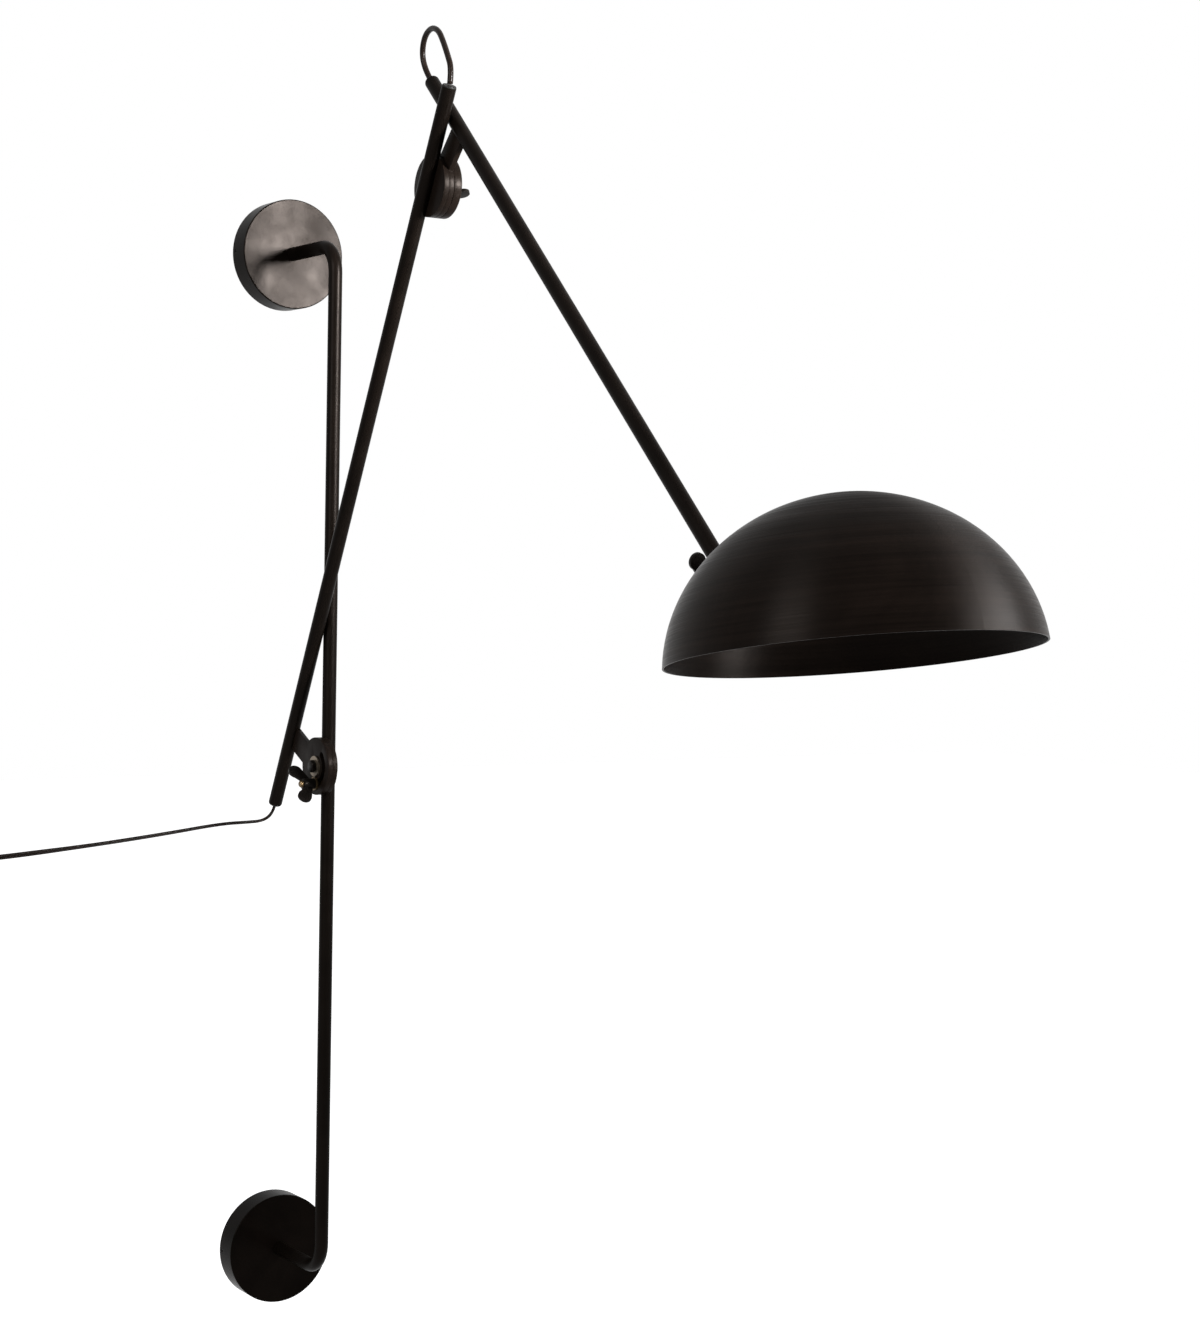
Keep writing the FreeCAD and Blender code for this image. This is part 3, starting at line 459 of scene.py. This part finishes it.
# ---- threads on the free ends of the three studs
def thread_tree():
    """Ridge wound round an axis along X, from its place, by pitch and turns."""
    tree = bpy.data.node_groups.new("stud_thread", "GeometryNodeTree")
    for name in ("Radius", "Pitch", "Turns", "Ridge"):
        tree.interface.new_socket(name, in_out="INPUT", socket_type="NodeSocketFloat")
    tree.interface.new_socket("Place", in_out="INPUT", socket_type="NodeSocketVector")
    tree.interface.new_socket("Finish", in_out="INPUT", socket_type="NodeSocketMaterial")
    tree.interface.new_socket("Geometry", in_out="OUTPUT", socket_type="NodeSocketGeometry")
    given = add(tree, "NodeGroupInput").outputs
    height = add(tree, "ShaderNodeMath", operation="MULTIPLY")
    tree.links.new(given["Pitch"], height.inputs[0])
    tree.links.new(given["Turns"], height.inputs[1])
    helix = add(tree, "GeometryNodeCurveSpiral")
    helix.inputs["Resolution"].default_value = thread_steps
    tree.links.new(given["Turns"], helix.inputs["Rotations"])
    tree.links.new(given["Radius"], helix.inputs["Start Radius"])
    tree.links.new(given["Radius"], helix.inputs["End Radius"])
    tree.links.new(height.outputs[0], helix.inputs["Height"])
    ridge = add(tree, "GeometryNodeCurvePrimitiveCircle")
    ridge.inputs["Resolution"].default_value = ridge_sides
    tree.links.new(given["Ridge"], ridge.inputs["Radius"])
    swept = add(tree, "GeometryNodeCurveToMesh")
    swept.inputs["Fill Caps"].default_value = True
    tree.links.new(helix.outputs["Curve"], swept.inputs["Curve"])
    tree.links.new(ridge.outputs["Curve"], swept.inputs["Profile Curve"])
    moved = add(tree, "GeometryNodeTransform")
    moved.inputs["Rotation"].default_value = (0, math.pi / 2, 0)
    tree.links.new(given["Place"], moved.inputs["Translation"])
    tree.links.new(swept.outputs["Mesh"], moved.inputs["Geometry"])
    real = add(tree, "GeometryNodeRealizeInstances")
    tree.links.new(moved.outputs["Geometry"], real.inputs["Geometry"])
    painted = add(tree, "GeometryNodeSetMaterial")
    tree.links.new(real.outputs["Geometry"], painted.inputs["Geometry"])
    tree.links.new(given["Finish"], painted.inputs["Material"])
    result = add(tree, "NodeGroupOutput")
    tree.links.new(painted.outputs["Geometry"], result.inputs["Geometry"])
    return tree


def stud_place(number):
    """Lower end, along X, of the threaded part of a stud, on the stud's own axis."""
    stud = [v.co for v in nodes["hinge%d_stud" % number].data.vertices]
    disc = [v.co.x for v in nodes["hinge%d_disc" % number].data.vertices]
    disc_x = (min(disc) + max(disc)) / 2
    tip = max((p.x for p in stud), key=lambda x: abs(x - disc_x))
    outward = 1 if tip > disc_x else -1
    ends = (tip - outward * stud_chamfer, tip - outward * (stud_chamfer + thread_turns * thread_pitch))
    y = (min(p.y for p in stud) + max(p.y for p in stud)) / 2
    z = (min(p.z for p in stud) + max(p.z for p in stud)) / 2
    return (min(ends), y, z)


def thread_stud(number, tree):
    """Thread on one hinge's stud."""
    name = "hinge%d_stud" % number
    obj = bpy.data.objects.new(name + "_thread", bpy.data.meshes.new(name + "_blank"))
    bpy.context.collection.objects.link(obj)
    wound = obj.modifiers.new("wound", "NODES")
    wound.node_group = tree
    sizes = {"Radius": stud_d / 2, "Pitch": thread_pitch, "Turns": thread_turns, "Ridge": thread_depth / 2,
             "Place": stud_place(number), "Finish": brass}
    for socket in tree.interface.items_tree:
        if socket.in_out == "INPUT":
            wound[socket.identifier] = sizes[socket.name]
    obj.data = plain_mesh(obj, name + "_thread")
    obj.modifiers.clear()
    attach(obj, body_of(nodes[name])[0])


stud_thread = thread_tree()
for number in (1, 2, 3):
    thread_stud(number, stud_thread)


# ---- cords
def nurbs(name, points):
    """Open curve that the route's points pull on."""
    curve = bpy.data.curves.new(name, "CURVE")
    curve.dimensions = "3D"
    spline = curve.splines.new("NURBS")
    spline.points.add(len(points) - 1)
    for control, point in zip(spline.points, points):
        control.co = (*point, 1.0)
    spline.order_u = route_order
    spline.use_endpoint_u = True
    spline.resolution_u = route_steps
    obj = bpy.data.objects.new(name, curve)
    bpy.context.collection.objects.link(obj)
    return obj


def path_along(name, points):
    """Closely set points on the smooth line of a route."""
    route = nurbs(name, points)
    line = plain_mesh(route, name)
    path = [v.co.copy() for v in line.vertices]
    bpy.data.meshes.remove(line)
    bpy.data.objects.remove(route)
    return path


def coil_point(turn):
    """Centre of the wound lead after this many turns, from the top, spiralling in and out by layers."""
    per_layer = coil_turns / coil_layers
    layer = min(int(turn / per_layer), coil_layers - 1)
    part = turn - layer * per_layer
    half_width = per_layer * coil_pitch / 2
    inward = part * coil_pitch if layer % 2 == 0 else (per_layer - part) * coil_pitch
    radius = coil_mean_r + half_width - inward
    level = 0.0
    for k in range(1, coil_layers):
        level += eased(min(1.0, max(0.0, (turn - k * per_layer) / coil_step_turns + 0.5)))
    angle = math.pi / 2 + 2 * math.pi * turn
    return Vector((coil_centre[0] + radius * math.cos(angle), coil_front + level * coil_pitch,
                   coil_centre[1] + radius * math.sin(angle)))


def lead_route():
    """From the lower arm's end along the wall, round the coil and down into the plug."""
    start = lower_end - lower_up * bushing_flange_t
    points = [start, start - lower_up * lead_first_run]
    points += [Vector(p) for p in lead_points]
    points.append(coil_point(0.0) + Vector((lead_last_run, 0, 0)))
    points.append(coil_point(0.0) + Vector((coil_end_run, 0, 0)))
    count = int(coil_turns * coil_points_per_turn)
    points += [coil_point(coil_turns * i / count) for i in range(count + 1)]
    points.append(points[-1] - Vector((0, 0, plug_run / 2)))
    points.append(points[-1] - Vector((0, 0, plug_run / 2)))
    return points


def loop_route():
    """From the upper arm's top, over and down into the lower arm's top."""
    start = upper_top + upper_up * bushing_flange_t
    points = [start, start + upper_up * loop_first_run]
    points += [Vector(p) for p in loop_points]
    points.append(lower_top + lower_up * (bushing_flange_t + loop_end_gap))
    return points


def twist_at(share):
    """How far the flat lead has turned about its own line, in radians."""
    before = lead_twists[0]
    for after in lead_twists[1:]:
        if share <= after[0]:
            x = (share - before[0]) / (after[0] - before[0])
            return before[1] + (after[1] - before[1]) * eased(x)
        before = after
    return before[1]


def frames_along(points):
    """Unit sideways and upward directions at each point, carried along without turning."""
    tangents = []
    for i in range(len(points)):
        low = points[max(0, i - 1)]
        high = points[min(len(points) - 1, i + 1)]
        tangents.append((high - low).normalized())
    side = tangents[0].cross(Vector((1, 0, 0))).normalized()
    frames = []
    for tangent in tangents:
        side = (side - tangent * side.dot(tangent)).normalized()
        frames.append((side, tangent.cross(side).normalized()))
    return frames


def twin_section():
    """Outline of a flat twin lead: two cores side by side with a groove between them."""
    core = twin_t / 2
    apart = (twin_w - twin_t) / 2
    points = []
    hidden = math.radians(groove_half_angle)
    for side in (1, -1):
        for i in range(core_points):
            a = -math.pi + hidden + (2 * math.pi - 2 * hidden) * i / (core_points - 1)
            points.append((side * (apart + core * math.cos(a)), side * core * math.sin(a)))
    return points


def round_section(diameter):
    turns = [2 * math.pi * i / round_sides for i in range(round_sides)]
    return [(diameter / 2 * math.cos(a), diameter / 2 * math.sin(a)) for a in turns]


def sheathed(name, points, section, twist, material):
    """Tube with this section along the points, closed at both ends."""
    frames = frames_along(points)
    mesh = bmesh.new()
    rings = []
    total = sum((b - a).length for a, b in zip(points, points[1:]))
    run = 0.0
    for i, point in enumerate(points):
        if i:
            run += (point - points[i - 1]).length
        side, up = frames[i]
        turn = twist(run / total)
        across = side * math.cos(turn) + up * math.sin(turn)
        over = up * math.cos(turn) - side * math.sin(turn)
        rings.append([mesh.verts.new(point + across * x + over * y) for x, y in section])
    for low, high in zip(rings, rings[1:]):
        for i in range(len(section)):
            j = (i + 1) % len(section)
            mesh.faces.new((low[i], low[j], high[j], high[i]))
    mesh.faces.new(rings[0][::-1])
    mesh.faces.new(rings[-1])
    bmesh.ops.recalc_face_normals(mesh, faces=mesh.faces)
    data = bpy.data.meshes.new(name)
    mesh.to_mesh(data)
    mesh.free()
    for face in data.polygons:
        face.use_smooth = True
    data.materials.append(material)
    obj = bpy.data.objects.new(name, data)
    bpy.context.collection.objects.link(obj)
    return obj


def make_lead():
    path = path_along("lead_line", lead_route())
    lead = sheathed("lead", path, twin_section(), twist_at, cable_sheath)
    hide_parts("lead_cord", "lead_coil")
    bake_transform(lead, "lower_arm", "wall_frame", start=tuple(lower_end), end=lead_held_at)


def make_loop():
    path = path_along("loop_line", loop_route())
    loop = sheathed("loop", path, round_section(cable_d), lambda share: 0.0, cable_sheath)
    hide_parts("loop_cable")
    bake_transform(loop, "upper_arm", "lower_arm", start=loop_moves_before, end=loop_stays_after)


make_lead()
make_loop()


# ---- stage, light and camera
def make_camera():
    forward = Vector((math.sin(camera_turn) * math.cos(camera_tip),
                      math.cos(camera_turn) * math.cos(camera_tip),
                      math.sin(camera_tip)))
    level = Vector((math.cos(camera_turn), -math.sin(camera_turn), 0))
    upward = level.cross(forward)
    right = level * math.cos(camera_roll) + upward * math.sin(camera_roll)
    up = upward * math.cos(camera_roll) - level * math.sin(camera_roll)
    data = bpy.data.cameras.new("camera")
    data.sensor_width = sensor_mm
    data.lens = lens_mm
    data.clip_end = camera_reach
    obj = bpy.data.objects.new("camera", data)
    obj.matrix_world = Matrix((
        (right.x, up.x, -forward.x, camera_at[0]),
        (right.y, up.y, -forward.y, camera_at[1]),
        (right.z, up.z, -forward.z, camera_at[2]),
        (0, 0, 0, 1)))
    bpy.context.collection.objects.link(obj)
    bpy.context.scene.camera = obj


def seen_white(tree, plain, white):
    """Strength of 'plain' for light and 'white' where the eye, a gloss or glass sees it."""
    path = add(tree, "ShaderNodeLightPath")
    both = add(tree, "ShaderNodeMath", operation="MAXIMUM")
    tree.links.new(path.outputs["Is Camera Ray"], both.inputs[0])
    tree.links.new(path.outputs["Is Transmission Ray"], both.inputs[1])
    any_ray = add(tree, "ShaderNodeMath", operation="MAXIMUM")
    tree.links.new(both.outputs[0], any_ray.inputs[0])
    tree.links.new(path.outputs["Is Glossy Ray"], any_ray.inputs[1])
    strength = add(tree, "ShaderNodeMapRange")
    strength.inputs["To Min"].default_value = plain
    strength.inputs["To Max"].default_value = white
    tree.links.new(any_ray.outputs[0], strength.inputs["Value"])
    return strength.outputs["Result"]


def make_world():
    world = bpy.data.worlds.new("studio")
    world.use_nodes = True
    tree = world.node_tree
    background = tree.nodes["Background"]
    background.inputs["Color"].default_value = (1, 1, 1, 1)
    tree.links.new(seen_white(tree, studio_light, studio_white), background.inputs["Strength"])
    bpy.context.scene.world = world


def make_floor():
    data = bpy.data.meshes.new("floor")
    corners = ((-1, -1), (1, -1), (1, 1), (-1, 1))
    data.from_pydata([(x * floor_half, y * floor_half, floor_level) for x, y in corners], [], [(0, 1, 2, 3)])
    floor = bpy.data.objects.new("floor", data)
    bpy.context.collection.objects.link(floor)
    material, tree, shader = new_material("pale_floor")
    shader.inputs["Base Color"].default_value = (0.86, 0.86, 0.86, 1)
    shader.inputs["Roughness"].default_value = 0.8
    shader.inputs["Emission Color"].default_value = (1, 1, 1, 1)
    tree.links.new(seen_white(tree, 0.0, floor_glow), shader.inputs["Emission Strength"])
    data.materials.append(material)


def soft_lamp(name, at, towards, size, watts, cone):
    data = bpy.data.lights.new(name, "AREA")
    data.shape = "RECTANGLE"
    data.size, data.size_y = size
    data.energy = watts
    data.spread = math.radians(cone)
    obj = bpy.data.objects.new(name, data)
    obj.location = at
    obj.rotation_euler = (Vector(towards) - Vector(at)).to_track_quat("-Z", "Y").to_euler()
    bpy.context.collection.objects.link(obj)


make_camera()
make_world()
make_floor()
for lamp in lamps:
    soft_lamp(*lamp)
bpy.context.scene.view_settings.view_transform = "Standard"
